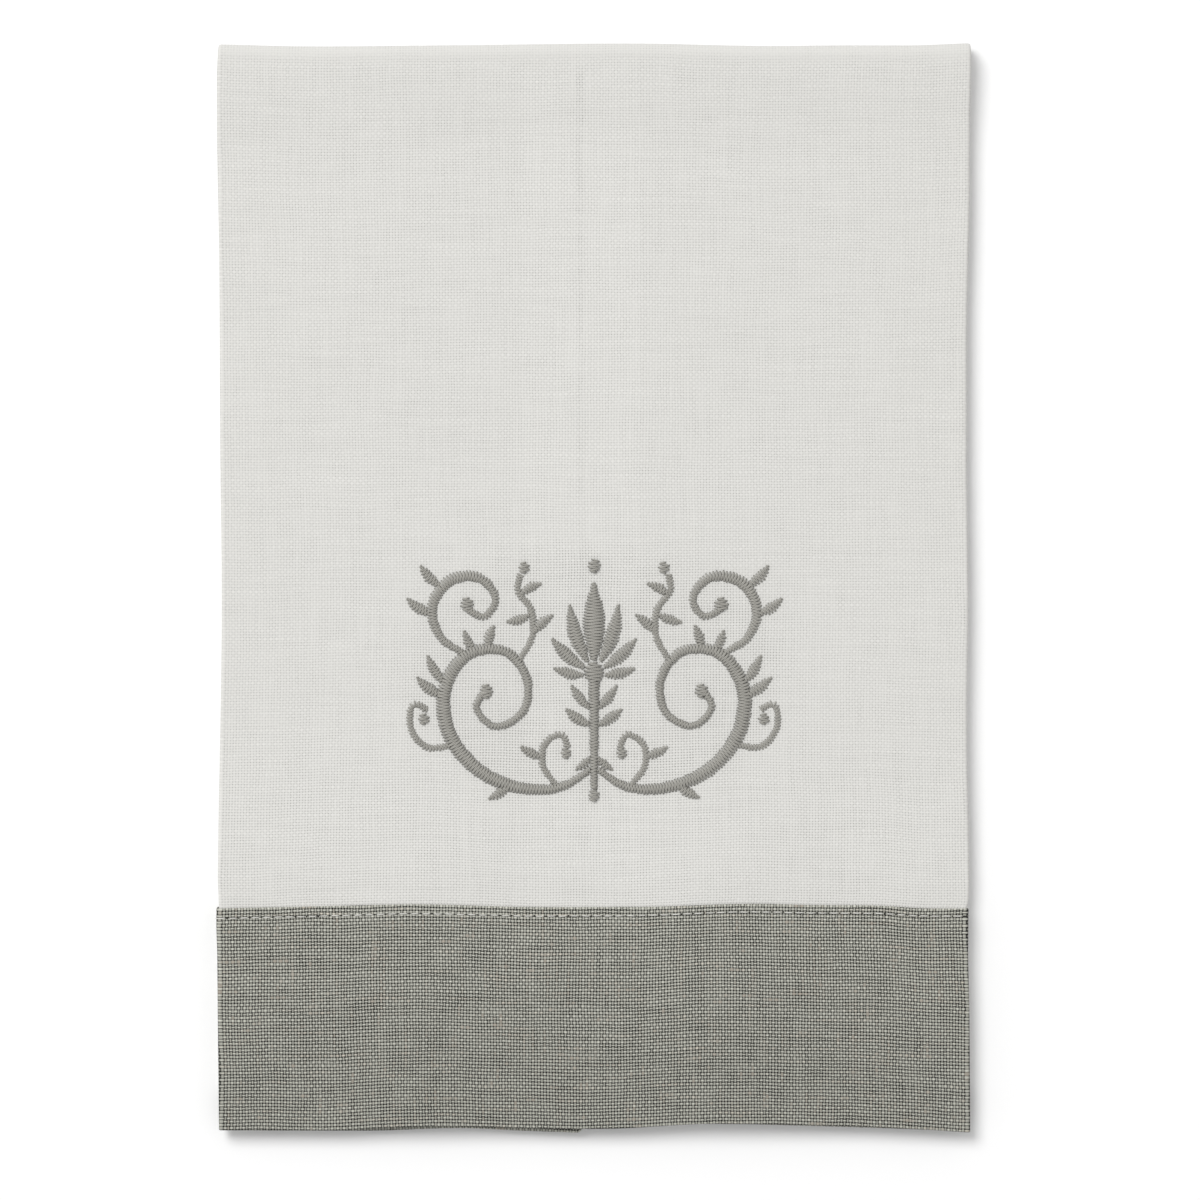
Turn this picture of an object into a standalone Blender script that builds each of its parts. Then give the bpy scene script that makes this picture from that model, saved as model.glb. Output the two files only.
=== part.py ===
"""A linen guest towel with a contrast band, folded for display and lying on its back.

The towel is one length of cloth with a band sewn to its lower end. Its two sides are folded
in behind the front panel, and the whole is then folded in half, so that it has four layers:
the back panel, the back wings, the front wings and the front panel. Each layer lies a
little apart from the next. The side hems and the end hem are part of the cloth.

Units are metres and +Z is up. The origin is the middle of the footprint, on the surface that
the towel lies on. The hem with the band faces -Y and the top fold faces +Y.
"""

import bisect
import math
from collections import namedtuple

import bmesh
import bpy

MM = 0.001

# Driving sizes of the folded towel
FOLDED_WIDTH = 177.5 * MM
FOLDED_LENGTH = 256.8 * MM
BAND_HEIGHT = 52.8 * MM
BACK_SHORT_OF_HEM = 9.0 * MM

# The cloth as it is built, and how far apart its layers lie
CLOTH_THICKNESS = 1.0 * MM
BAND_THICKNESS = 1.1 * MM
SEAM_GAP = 0.3 * MM
LAYER_PITCH = 1.4 * MM
TOP_FOLD_PITCH = 1.85 * MM
MIDDLE_LOFT = 0.10 * MM

# How the uneven shapes fade out
TOP_FOLD_REACH = 24 * MM
HEM_DRIFT_REACH = 150 * MM
HEM_LIFT_REACH = 120 * MM
BACK_DRIFT_REACH = 60 * MM
BACK_INSET = 0.5 * MM

# Steps of the grid across the cloth and along it
WING_STEPS = 7
SIDE_FOLD_STEPS = 6
PANEL_STEPS = 19
BAND_STEPS = 6
FRONT_STEPS = 11
TOP_REACH_STEPS = 4
TOP_TURN_STEPS = 8
BACK_STEPS = 10

# Sizes that follow from those above
LAYERS_BETWEEN = 3
SIDE_FOLD_RADIUS = LAYER_PITCH / 2
SIDE_FOLD_ARC = math.pi * SIDE_FOLD_RADIUS
PANEL_HALF = FOLDED_WIDTH / 2 - SIDE_FOLD_RADIUS - CLOTH_THICKNESS / 2
TOP_TURN_RADIUS = TOP_FOLD_PITCH * LAYERS_BETWEEN / 2
TOP_TURN_ARC = math.pi * TOP_TURN_RADIUS
HEM_Y = -FOLDED_LENGTH / 2
FRONT_RUN = FOLDED_LENGTH - TOP_TURN_RADIUS - CLOTH_THICKNESS / 2
BACK_RUN = FRONT_RUN - BACK_SHORT_OF_HEM
BACK_START = FRONT_RUN + TOP_TURN_ARC
TURN_Y = HEM_Y + FRONT_RUN

# How far each side edge stands out at a height above the hem, in millimetres
SideRow = namedtuple("SideRow", "height left right")
SIDE_EDGES = (
    SideRow(2, 0.36, 0.47),
    SideRow(21, 0.24, 0.47),
    SideRow(40, 0.71, 0.36),
    SideRow(52, 0.71, 0.47),
    SideRow(55, 0.36, 0.00),
    SideRow(69, 0.24, -0.10),
    SideRow(116, -0.36, -0.36),
    SideRow(154, -0.36, -0.60),
    SideRow(182, -0.12, -0.70),
    SideRow(211, 0.24, -0.24),
    SideRow(239, 0.60, 0.00),
    SideRow(251, 0.12, 0.12),
    SideRow(257, -0.47, 0.36),
)

# At a place across the panel, in millimetres: how far the hem, the seam and the top fold
# drift towards the top, and how far the hem lifts off the layers below
CrossRow = namedtuple("CrossRow", "x hem lift seam top")
CROSS_DRIFT = (
    CrossRow(-89.0, -0.36, 0.0, -0.55, 0.10),
    CrossRow(-61.6, -0.36, 0.2, 0.10, -0.36),
    CrossRow(-42.6, 0.60, 0.9, 0.28, -0.30),
    CrossRow(-29.8, 0.47, 0.7, 0.17, -0.10),
    CrossRow(-17.3, 0.10, 0.2, 0.10, 0.10),
    CrossRow(-1.4, 0.17, 0.1, -0.05, 0.36),
    CrossRow(11.8, 0.47, 0.4, 0.00, 0.36),
    CrossRow(25.1, 1.28, 1.1, 0.60, 0.20),
    CrossRow(38.4, 1.28, 1.1, 0.78, -0.12),
    CrossRow(51.6, 0.47, 0.5, 0.33, -0.30),
    CrossRow(64.9, 0.17, 0.2, 0.00, -0.12),
    CrossRow(78.4, -0.40, 0.0, -0.30, 0.10),
    CrossRow(89.0, -0.80, 0.0, -0.55, 0.36),
)

# Each wing, in millimetres: the X of its free edge at the top fold and at the hem, and the
# upward drift of its hem at the side fold and at the free edge
WingRow = namedtuple("WingRow", "side edge_at_top edge_at_hem hem_at_fold hem_at_edge")
LEFT_WING = WingRow(-1, -4.1, -2.9, -0.36, -0.95)
RIGHT_WING = WingRow(1, -2.6, -1.7, -0.80, 0.90)


def smooth_value(rows, along, column, place):
    """A column's value at a place, on a smooth curve through the rows of a table."""
    places = [getattr(row, along) for row in rows]
    values = [getattr(row, column) for row in rows]
    last = len(rows) - 1
    place = min(max(place, places[0]), places[last])
    index = min(bisect.bisect_right(places, place) - 1, last - 1)

    def slope(at):
        before = max(at - 1, 0)
        after = min(at + 1, last)
        return (values[after] - values[before]) / (places[after] - places[before])

    step = places[index + 1] - places[index]
    t = (place - places[index]) / step
    rise = values[index + 1] - values[index]
    start_pull = slope(index) * step
    end_pull = slope(index + 1) * step
    bend = 3 * rise - 2 * start_pull - end_pull
    twist = start_pull + end_pull - 2 * rise
    return values[index] + t * (start_pull + t * (bend + t * twist))


def ease(share):
    """0 below 0, 1 above 1, and a smooth step between."""
    share = min(max(share, 0.0), 1.0)
    return share * share * (3 - 2 * share)


def wing_width(wing):
    """How far a wing runs back from its side fold to its free edge."""
    middle_of_edge = (wing.edge_at_top + wing.edge_at_hem) / 2 * MM
    return PANEL_HALF - wing.side * middle_of_edge


def across_cloth(u):
    """Where a place across the cloth lies: x, depth behind the panel from 0 to 1, wing share.

    u runs from the middle of the panel. Past each side fold the cloth runs back as a wing.
    """
    wing = LEFT_WING if u < 0 else RIGHT_WING
    past_panel = abs(u) - PANEL_HALF
    if past_panel <= 0:
        return u, 0.0, 0.0
    if past_panel < SIDE_FOLD_ARC:
        angle = past_panel / SIDE_FOLD_RADIUS
        x = wing.side * (PANEL_HALF + SIDE_FOLD_RADIUS * math.sin(angle))
        return x, (1 - math.cos(angle)) / 2, 0.0
    on_wing = past_panel - SIDE_FOLD_ARC
    return wing.side * (PANEL_HALF - on_wing), 1.0, on_wing / wing_width(wing)


def along_cloth(v):
    """Where a place along the cloth lies: y and the angle turned round the top fold."""
    if v <= FRONT_RUN:
        return HEM_Y + v, 0.0
    if v < BACK_START:
        return TURN_Y, (v - FRONT_RUN) / TOP_TURN_RADIUS
    return TURN_Y - (v - BACK_START), math.pi


def layer_pitch(x, y):
    """The distance between two layers: wider in the middle and towards the top fold."""
    near_top = ease(1 - (TURN_Y - y) / TOP_FOLD_REACH)
    middle = math.cos(x / FOLDED_WIDTH * math.pi) * math.cos(y / FOLDED_LENGTH * math.pi)
    return LAYER_PITCH + (TOP_FOLD_PITCH - LAYER_PITCH) * near_top + MIDDLE_LOFT * middle


def sideways_drift(u, height, v, wing_share):
    """How far a point moves along X, for the uneven side edges and the wings' free edges."""
    wing = LEFT_WING if u < 0 else RIGHT_WING
    column = "left" if u < 0 else "right"
    outward = smooth_value(SIDE_EDGES, "height", column, height / MM) * MM
    outward -= BACK_INSET * ease((v - BACK_START) / BACK_DRIFT_REACH)
    near_edge = min(abs(u) / PANEL_HALF, 1.0)
    towards_hem = ease(1 - v / FRONT_RUN)
    free_edge = wing.edge_at_top + (wing.edge_at_hem - wing.edge_at_top) * towards_hem
    straight_edge = wing.side * (PANEL_HALF - wing_width(wing))
    at_side = wing.side * outward * near_edge
    return at_side + (free_edge * MM - straight_edge - at_side) * wing_share


def upward_drift(x, u, v, depth, wing_share):
    """How far a point moves along Y, for the uneven hem, seam and top fold."""
    hem, seam, top = (
        smooth_value(CROSS_DRIFT, "x", column, x / MM) for column in ("hem", "seam", "top")
    )
    wing = LEFT_WING if u < 0 else RIGHT_WING
    wing_hem = wing.hem_at_fold + (wing.hem_at_edge - wing.hem_at_fold) * wing_share
    hem += (wing_hem - hem) * depth
    seam += (wing_hem - seam) * depth
    if v < BAND_HEIGHT:
        low = hem + (seam - hem) * v / BAND_HEIGHT
    else:
        low = seam * ease(1 - (v - BAND_HEIGHT) / (HEM_DRIFT_REACH - BAND_HEIGHT))
    rise = ease((v - HEM_DRIFT_REACH) / (FRONT_RUN - HEM_DRIFT_REACH))
    fall = ease(1 - (v - BACK_START) / BACK_DRIFT_REACH)
    return (low + top * rise * fall) * MM


def hem_lift(x, v, depth):
    """How far the front panel lifts off the wings near its hem."""
    lift = smooth_value(CROSS_DRIFT, "x", "lift", x / MM) * MM
    return lift * (1 - depth) * ease(1 - v / HEM_LIFT_REACH)


def fold_point(u, v):
    """The place, in the folded towel, of a point at u across and v along the flat cloth.

    v runs from the hem up the front, round the top fold and down the back.
    """
    x, depth, wing_share = across_cloth(u)
    y, turn = along_cloth(v)
    pitch = layer_pitch(x, y)
    radius = (LAYERS_BETWEEN / 2 - depth) * pitch
    middle_z = CLOTH_THICKNESS / 2 + pitch * LAYERS_BETWEEN / 2
    z = middle_z + radius * math.cos(turn)
    height = y - HEM_Y
    return (
        x + sideways_drift(u, height, v, wing_share),
        y + radius * math.sin(turn) + upward_drift(x, u, v, depth, wing_share),
        z + hem_lift(x, v, depth),
    )


def stations(start, *stretches):
    """Places along the cloth from a start. Each stretch is its end and its number of steps."""
    places = [start]
    for end, steps in stretches:
        begin = places[-1]
        places += [begin + (end - begin) * step / steps for step in range(1, steps + 1)]
    return places


def columns_across():
    """The grid's places across the cloth: wing, side fold, panel, side fold, wing."""
    fold_end = PANEL_HALF + SIDE_FOLD_ARC
    return stations(
        -fold_end - wing_width(LEFT_WING),
        (-fold_end, WING_STEPS),
        (-PANEL_HALF, SIDE_FOLD_STEPS),
        (PANEL_HALF, PANEL_STEPS),
        (fold_end, SIDE_FOLD_STEPS),
        (fold_end + wing_width(RIGHT_WING), WING_STEPS),
    )


def linear_colour(red, green, blue):
    """A colour in Blender's linear values, from the 0 to 255 of a screen."""

    def linear(value):
        share = value / 255
        return share / 12.92 if share <= 0.04045 else ((share + 0.055) / 1.055) ** 2.4

    return linear(red), linear(green), linear(blue), 1.0


def cloth_material(name, colour, roughness):
    """A plain woven finish."""
    material = bpy.data.materials.new(name)
    material.use_nodes = True
    shader = material.node_tree.nodes["Principled BSDF"]
    shader.inputs["Base Color"].default_value = colour
    shader.inputs["Roughness"].default_value = roughness
    shader.inputs["Metallic"].default_value = 0.0
    material.diffuse_color = colour
    return material


def folded_sheet(name, columns, rows, thickness, material, collection):
    """One piece of cloth: a flat grid, folded point by point and then given its thickness."""
    across = len(columns) - 1
    along = len(rows) - 1
    sheet = bmesh.new()
    bmesh.ops.create_grid(sheet, x_segments=across, y_segments=along, size=1.0)
    for vert in sheet.verts:
        column = round((vert.co.x + 1) / 2 * across)
        row = round((vert.co.y + 1) / 2 * along)
        vert.co = fold_point(columns[column], rows[row])
    mesh = bpy.data.meshes.new(name)
    sheet.to_mesh(mesh)
    sheet.free()
    mesh.materials.append(material)
    mesh.shade_smooth()
    piece = bpy.data.objects.new(name, mesh)
    collection.objects.link(piece)
    wall = piece.modifiers.new("cloth thickness", "SOLIDIFY")
    wall.thickness = thickness
    wall.offset = 0.0
    wall.use_even_offset = True
    return piece


def linen_cloth(collection):
    """The white cloth, from the band's seam up the front, over the top fold and down the back."""
    rows = stations(
        BAND_HEIGHT + SEAM_GAP / 2,
        (FRONT_RUN - TOP_FOLD_REACH, FRONT_STEPS),
        (FRONT_RUN, TOP_REACH_STEPS),
        (BACK_START, TOP_TURN_STEPS),
        (BACK_START + TOP_FOLD_REACH, TOP_REACH_STEPS),
        (BACK_START + BACK_RUN, BACK_STEPS),
    )
    finish = cloth_material("white linen", linear_colour(221, 220, 216), roughness=0.9)
    return folded_sheet("linen_cloth", columns_across(), rows, CLOTH_THICKNESS, finish, collection)


def contrast_band(collection):
    """The grey band along the lower end, across the front panel and both front wings."""
    rows = stations(0.0, (BAND_HEIGHT - SEAM_GAP / 2, BAND_STEPS))
    finish = cloth_material("grey linen", linear_colour(136, 136, 128), roughness=0.9)
    return folded_sheet("contrast_band", columns_across(), rows, BAND_THICKNESS, finish, collection)


def clear_scene():
    for obj in list(bpy.data.objects):
        bpy.data.objects.remove(obj, do_unlink=True)


def main():
    clear_scene()
    towel = bpy.data.collections.new("guest towel")
    bpy.context.scene.collection.children.link(towel)
    linen_cloth(towel)
    contrast_band(towel)


main()
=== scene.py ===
"""The looks of a folded linen guest towel: thin cloth, a sewn band, stitching and an ornament.

Everything is in metres, in the towel's own frame: the banded hem faces -Y, the top fold faces
+Y, and the towel lies on its back panel at z = 0. A place on the cloth is given as it was
before folding: u across from the middle of the front panel, v along from the hem, and w out
of the cloth's right side. Each piece is laid out flat in those terms and folded with the cloth.
"""

import math
import random
from collections import namedtuple

import bmesh
import bpy
import numpy as np
from mathutils import Matrix, Vector, noise


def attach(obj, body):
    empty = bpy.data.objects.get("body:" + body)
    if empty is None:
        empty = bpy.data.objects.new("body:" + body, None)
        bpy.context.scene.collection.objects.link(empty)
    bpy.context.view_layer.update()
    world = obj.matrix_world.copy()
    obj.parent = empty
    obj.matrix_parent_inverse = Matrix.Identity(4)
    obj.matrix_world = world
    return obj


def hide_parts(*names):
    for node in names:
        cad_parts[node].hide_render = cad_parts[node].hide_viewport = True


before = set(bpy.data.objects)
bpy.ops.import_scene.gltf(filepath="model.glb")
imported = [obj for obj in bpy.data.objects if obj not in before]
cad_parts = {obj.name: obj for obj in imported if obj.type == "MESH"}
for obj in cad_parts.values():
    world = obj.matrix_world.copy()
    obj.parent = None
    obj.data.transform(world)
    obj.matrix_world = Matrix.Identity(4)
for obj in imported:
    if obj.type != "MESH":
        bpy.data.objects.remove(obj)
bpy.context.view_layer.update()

MM = 0.001

# Driving sizes of the folded towel, the same as the solids'
FOLDED_WIDTH = 177.5 * MM
FOLDED_LENGTH = 256.8 * MM
BAND_HEIGHT = 52.8 * MM
BACK_SHORT_OF_HEM = 9.0 * MM
SOLID_CLOTH = 1.0 * MM
LAYER_PITCH = 1.4 * MM
TOP_FOLD_PITCH = 1.85 * MM
MIDDLE_LOFT = 0.10 * MM
TOP_FOLD_REACH = 24 * MM
HEM_DRIFT_REACH = 150 * MM
HEM_LIFT_REACH = 120 * MM
BACK_DRIFT_REACH = 60 * MM
BACK_INSET = 0.5 * MM
LAYERS_BETWEEN = 3

# How square the side folds are pressed in section, where 2 would be round
FOLD_SQUARENESS = 5.0

# The real cloth: how thick each ply is and where it lies, as w from the solid's middle
CLOTH_PLY = 0.36 * MM
BAND_PLY = 0.26 * MM
PLY_GAP = 0.02 * MM
CLOTH_FACE = SOLID_CLOTH / 2
SEAM_DIP = 0.30 * MM
SEAM_DIP_REACH = 8 * MM
WING_APPROACH = 0.30 * MM
WING_APPROACH_REACH = 12 * MM

# Hems and the seam
SIDE_HEM = 13.3 * MM
END_HEM = 12.5 * MM
HEM_TURN_RADIUS = 0.22 * MM
SEAM_ALLOWANCE = 10 * MM
BAND_TUCK = 5.5 * MM
STITCH_LINE_BELOW_EDGE = 1.95 * MM
STITCH_LINE_SLANT = 0.0034
STITCH_LINE_ABOVE_END_PLY = 1.0 * MM
END_STITCH_DIP = 0.20 * MM
END_STITCH_REACH = 0.9 * MM
WING_CORNER_RADIUS = 1.2 * MM
CORNER_ROUNDING_REACH = 12 * MM
BAND_LOW_FACE_W = 0.42 * MM
BAND_LOW_BACK_W = 0.06 * MM
BAND_BACK_SHORT_OF_SEAM = 1 * MM
BAND_TUCK_SETTLES_FROM = 2 * MM
BAND_TUCK_SETTLES_OVER = 9 * MM
BAND_BACK_SPREADS_FROM = 30 * MM
BAND_BACK_SPREADS_OVER = 12 * MM
FINE_ROWS_REACH = 2 * MM

# Sizes that follow from those above
SIDE_FOLD_RADIUS = LAYER_PITCH / 2
SIDE_FOLD_ARC = math.pi * SIDE_FOLD_RADIUS
PANEL_HALF = FOLDED_WIDTH / 2 - SIDE_FOLD_RADIUS - SOLID_CLOTH / 2
TOP_TURN_RADIUS = TOP_FOLD_PITCH * LAYERS_BETWEEN / 2
TOP_TURN_ARC = math.pi * TOP_TURN_RADIUS
HEM_Y = -FOLDED_LENGTH / 2
FRONT_RUN = FOLDED_LENGTH - TOP_TURN_RADIUS - SOLID_CLOTH / 2
BACK_RUN = FRONT_RUN - BACK_SHORT_OF_HEM
BACK_START = FRONT_RUN + TOP_TURN_ARC
TURN_Y = HEM_Y + FRONT_RUN
CLOTH_END = BACK_START + BACK_RUN
END_STITCH_V = CLOTH_END - END_HEM + STITCH_LINE_ABOVE_END_PLY

# Where an edge turns or bends: how far along it, and how far it has drifted from straight
# there, in millimetres. It runs smoothly between these places
Turn = namedtuple("Turn", "place drift")

# Each side edge from the hem upwards, outwards
LEFT_EDGE = (
    Turn(0, 0.05),
    Turn(48, 0.45),
    Turn(126, -0.58),
    Turn(161, -0.22),
    Turn(203, 0.0),
    Turn(239, 0.55),
    Turn(249, 0.52),
    Turn(257, 0.05),
)
RIGHT_EDGE = (
    Turn(0, 0.33),
    Turn(25, 0.17),
    Turn(52, -0.32),
    Turn(55, 0.22),
    Turn(97, -0.43),
    Turn(126, -0.11),
    Turn(160, -0.47),
    Turn(188, -0.45),
    Turn(222, 0.22),
    Turn(235, 0.25),
    Turn(257, 0.57),
)
# The hem, the seam and the top fold across the panel, towards the top
HEM_DRIFT = (
    Turn(-89, 0.05),
    Turn(-63, 0.05),
    Turn(-50, 0.76),
    Turn(-33, 1.14),
    Turn(-8, 0.40),
    Turn(2, 0.40),
    Turn(28, 1.66),
    Turn(50, 1.32),
    Turn(74, 0.44),
    Turn(89, -0.5),
)
SEAM_DRIFT = (
    Turn(-89, -0.5),
    Turn(-62, 0.13),
    Turn(-42, 0.56),
    Turn(-12, -0.15),
    Turn(9, -0.10),
    Turn(38, 0.70),
    Turn(53, 0.37),
    Turn(66, 0.27),
    Turn(79, -0.44),
    Turn(89, -0.5),
)
TOP_DRIFT = (
    Turn(-89, 0.48),
    Turn(-66, -0.04),
    Turn(-34, 0.23),
    Turn(8, 0.65),
    Turn(42, 0.06),
    Turn(60, 0.21),
    Turn(73, 0.20),
    Turn(89, 0.75),
)
# How far the front's hem lifts off the layers below it
HEM_LIFT = (
    Turn(-89, 0.0),
    Turn(-66, 0.1),
    Turn(-38, 0.9),
    Turn(-14, 0.12),
    Turn(2, 0.12),
    Turn(31, 1.15),
    Turn(64, 0.15),
    Turn(89, 0.0),
)
# Each wing's hem, towards the top, at a share of the way from its side fold to its free edge
LEFT_WING_HEM = (
    Turn(0.0, -0.15),
    Turn(0.40, -0.20),
    Turn(0.65, 0.41),
    Turn(0.83, -0.20),
    Turn(1.0, -0.71),
)
RIGHT_WING_HEM = (
    Turn(0.0, -0.45),
    Turn(0.15, 0.19),
    Turn(0.40, 0.9),
    Turn(0.70, 1.5),
    Turn(1.0, 1.1),
)

# Each wing: the X of its free edge at the top fold and at the hem, in millimetres
WingRow = namedtuple("WingRow", "side edge_at_top edge_at_hem")
LEFT_WING = WingRow(-1, -4.1, -2.9)
RIGHT_WING = WingRow(1, -2.6, -1.7)


def on_curve(values, slopes, at, step, share):
    """Places on a curve with these values and slopes at its knots, a share past knot `at`."""
    rise = values[at + 1] - values[at]
    bend = 3 * rise - (2 * slopes[at] + slopes[at + 1]) * step
    twist = (slopes[at] + slopes[at + 1]) * step - 2 * rise
    return values[at] + share * (slopes[at] * step + share * (bend + share * twist))


def drift_at(turns, places):
    """An edge's drift at an array of places, on a curve that never swings past its turns."""
    known, values = np.array(turns, float).T
    secants = np.diff(values) / np.diff(known)
    before, after = secants[:-1], secants[1:]
    runs_on = before * after > 0
    mean_slope = 2 * before * after / np.where(runs_on, before + after, 1.0)
    slopes = np.concatenate([secants[:1], np.where(runs_on, mean_slope, 0.0), secants[-1:]])
    places = np.clip(places, known[0], known[-1])
    at = np.clip(np.searchsorted(known, places, side="right") - 1, 0, len(known) - 2)
    step = known[at + 1] - known[at]
    return on_curve(values, slopes, at, step, (places - known[at]) / step)


def ease(share):
    """0 below 0, 1 above 1, and a smooth step between."""
    share = np.clip(share, 0.0, 1.0)
    return share * share * (3 - 2 * share)


def wing_width(wing):
    """How far a wing runs back from its side fold to its free edge."""
    middle_of_edge = (wing.edge_at_top + wing.edge_at_hem) / 2 * MM
    return PANEL_HALF - wing.side * middle_of_edge


def free_edge(wing):
    """How far across the flat cloth a wing's free edge lies, as a distance from the middle."""
    return PANEL_HALF + SIDE_FOLD_ARC + wing_width(wing)


def of_wing(left, name):
    """An array of one wing value for each point, by whether the point is on the left."""
    return np.where(left, getattr(LEFT_WING, name), getattr(RIGHT_WING, name))


def layer_pitch(x, y):
    """The distance between two layers: wider in the middle and towards the top fold."""
    near_top = ease(1 - (TURN_Y - y) / TOP_FOLD_REACH)
    middle = np.cos(x / FOLDED_WIDTH * np.pi) * np.cos(y / FOLDED_LENGTH * np.pi)
    return LAYER_PITCH + (TOP_FOLD_PITCH - LAYER_PITCH) * near_top + MIDDLE_LOFT * middle


def sideways_drift(u, height, v, wing_share):
    """How far points move along X, for the uneven side edges and the wings' free edges."""
    left = u < 0
    side = np.where(left, -1.0, 1.0)
    outward = MM * np.where(
        left,
        drift_at(LEFT_EDGE, height / MM),
        drift_at(RIGHT_EDGE, height / MM),
    )
    outward = outward - BACK_INSET * ease((v - BACK_START) / BACK_DRIFT_REACH)
    at_side = side * outward * np.minimum(np.abs(u) / PANEL_HALF, 1.0)
    at_top, at_hem = of_wing(left, "edge_at_top"), of_wing(left, "edge_at_hem")
    edge = (at_top + (at_hem - at_top) * ease(1 - v / FRONT_RUN)) * MM
    straight_edge = (at_top + at_hem) / 2 * MM
    return at_side + (edge - straight_edge - at_side) * wing_share


def upward_drift(x, u, v, depth, wing_share):
    """How far points move along Y, for the uneven hem, seam and top fold."""
    hem, seam, top = (drift_at(turns, x / MM) for turns in (HEM_DRIFT, SEAM_DRIFT, TOP_DRIFT))
    wing_hem = np.where(
        u < 0,
        drift_at(LEFT_WING_HEM, wing_share),
        drift_at(RIGHT_WING_HEM, wing_share),
    )
    hem = hem + (wing_hem - hem) * depth
    seam = seam + (wing_hem - seam) * depth
    in_band = hem + (seam - hem) * np.clip(v / BAND_HEIGHT, 0, 1)
    above = seam * ease(1 - (v - BAND_HEIGHT) / (HEM_DRIFT_REACH - BAND_HEIGHT))
    rise = ease((v - HEM_DRIFT_REACH) / (FRONT_RUN - HEM_DRIFT_REACH))
    fall = ease(1 - (v - BACK_START) / BACK_DRIFT_REACH)
    return (np.where(v < BAND_HEIGHT, in_band, above) + top * rise * fall) * MM


def pressed_fold(share):
    """How far out and up a pressed fold's squarish section lies, in radii, along its arc."""
    up = 1 - 2 * share
    out = 1 - np.abs(up)
    reach = (out**FOLD_SQUARENESS + np.abs(up) ** FOLD_SQUARENESS) ** (1 / FOLD_SQUARENESS)
    return out / reach, up / reach


def fold_cloth(u, v, w):
    """The places in the folded towel of flat places u, v at a distance w off the cloth."""
    u, v, w = (np.asarray(a, float) for a in np.broadcast_arrays(u, v, w))
    left = u < 0
    side = np.where(left, -1.0, 1.0)
    past_panel = np.abs(u) - PANEL_HALF
    out, up = pressed_fold(np.clip(past_panel / SIDE_FOLD_ARC, 0.0, 1.0))
    on_wing = np.maximum(past_panel - SIDE_FOLD_ARC, 0.0)
    wing_share = on_wing / np.where(left, wing_width(LEFT_WING), wing_width(RIGHT_WING))
    depth = (1 - up) / 2
    on_panel = np.minimum(np.abs(u), PANEL_HALF)
    x = side * (on_panel + SIDE_FOLD_RADIUS * out - on_wing)
    turn = np.clip((v - FRONT_RUN) / TOP_TURN_RADIUS, 0.0, np.pi)
    y = HEM_Y + np.minimum(v, FRONT_RUN) - np.maximum(v - BACK_START, 0.0)
    pitch = layer_pitch(x, y)
    radius = (LAYERS_BETWEEN / 2 - depth) * pitch
    lift = drift_at(HEM_LIFT, x / MM) * MM
    z = SOLID_CLOTH / 2 + pitch * LAYERS_BETWEEN / 2 + radius * np.cos(turn)
    z = z + lift * (1 - depth) * ease(1 - v / HEM_LIFT_REACH)
    w = w - WING_APPROACH * ease(on_wing / WING_APPROACH_REACH)
    return np.stack(
        [
            x + side * out * w + sideways_drift(u, y - HEM_Y, v, wing_share),
            y
            + radius * np.sin(turn)
            + up * np.sin(turn) * w
            + upward_drift(x, u, v, depth, wing_share),
            z + up * np.cos(turn) * w,
        ],
        axis=-1,
    )


# Soft waves of the front, all in metres
WAVE_HEIGHT = 0.07 * MM
WAVE_LENGTH = 27 * MM
RIPPLE_HEIGHT = 0.025 * MM
RIPPLE_LENGTH = 7 * MM
PUCKER_HEIGHT = 0.06 * MM
PUCKER_LENGTH = 6.5 * MM
PUCKER_REACH = 7 * MM
FLAT_AT_SIDES = 12 * MM
FLAT_AT_TOP = 20 * MM


def surface_waves(u, v):
    """How far the front's own small waves and the seam's puckers lift the cloth."""
    waves = np.empty(len(u))
    for at, (across, along) in enumerate(zip(u, v)):
        wide = noise.noise(Vector((across, along * 0.7, 0.0)) / WAVE_LENGTH)
        fine = noise.noise(Vector((across, along, 0.3)) / RIPPLE_LENGTH)
        pucker = noise.noise(Vector((across / PUCKER_LENGTH, 0.4, 0.0)))
        near_seam = math.exp(-(((along - BAND_HEIGHT) / PUCKER_REACH) ** 2))
        waves[at] = WAVE_HEIGHT * wide + RIPPLE_HEIGHT * fine + PUCKER_HEIGHT * pucker * near_seam
    off_sides = ease((PANEL_HALF - np.abs(u)) / FLAT_AT_SIDES)
    on_front = off_sides * ease((FRONT_RUN - v) / FLAT_AT_TOP)
    return waves * on_front


def cloth_face_rise(v):
    """w of the white cloth's face: it dips under the band and where the end hem is sewn."""
    near_seam = ease(1 - (v - BAND_HEIGHT) / SEAM_DIP_REACH)
    sewn = np.exp(-(((v - END_STITCH_V) / END_STITCH_REACH) ** 2))
    return CLOTH_FACE - SEAM_DIP * near_seam - END_STITCH_DIP * sewn


def stations(start, *stretches):
    """Places along a line from a start. Each stretch is its end and its number of steps."""
    places = [start]
    for end, steps in stretches:
        begin = places[-1]
        places += [begin + (end - begin) * step / steps for step in range(1, steps + 1)]
    return places


def link(name, mesh):
    """An object of this mesh at the origin, in the scene."""
    piece = bpy.data.objects.new(name, mesh)
    bpy.context.scene.collection.objects.link(piece)
    return piece


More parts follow.
